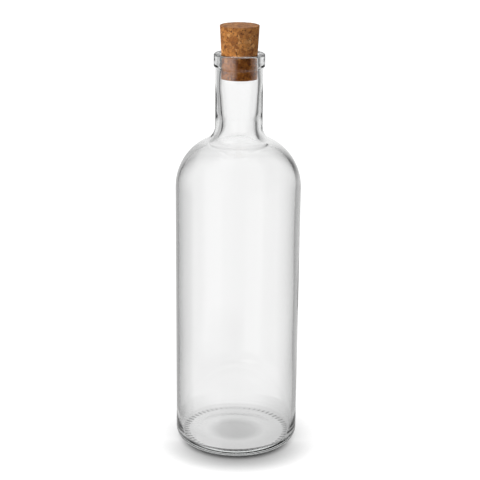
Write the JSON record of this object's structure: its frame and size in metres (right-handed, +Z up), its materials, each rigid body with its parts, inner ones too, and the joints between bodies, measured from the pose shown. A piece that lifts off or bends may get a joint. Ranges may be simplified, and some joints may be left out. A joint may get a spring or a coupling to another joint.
{
  "type": "corked glass bottle",
  "caption": "Empty clear glass bottle, cylindrical with a domed shoulder, short neck and banded lip, closed by a tapered cork stopper.",
  "frame": {"origin": "centre of the bottle's base, on the surface it stands on", "axes": "+Z up along the bottle's axis; the bottle is round, so X and Y are any two level directions"},
  "size_m": [0.0776, 0.0776, 0.2673],
  "materials": {
    "glass": "clear, gloss",
    "cork": "matte agglomerated cork"
  },
  "bodies": {
    "root": {"glass_bottle": "glass", "cork_stopper": "cork"}
  },
  "joints": []
}
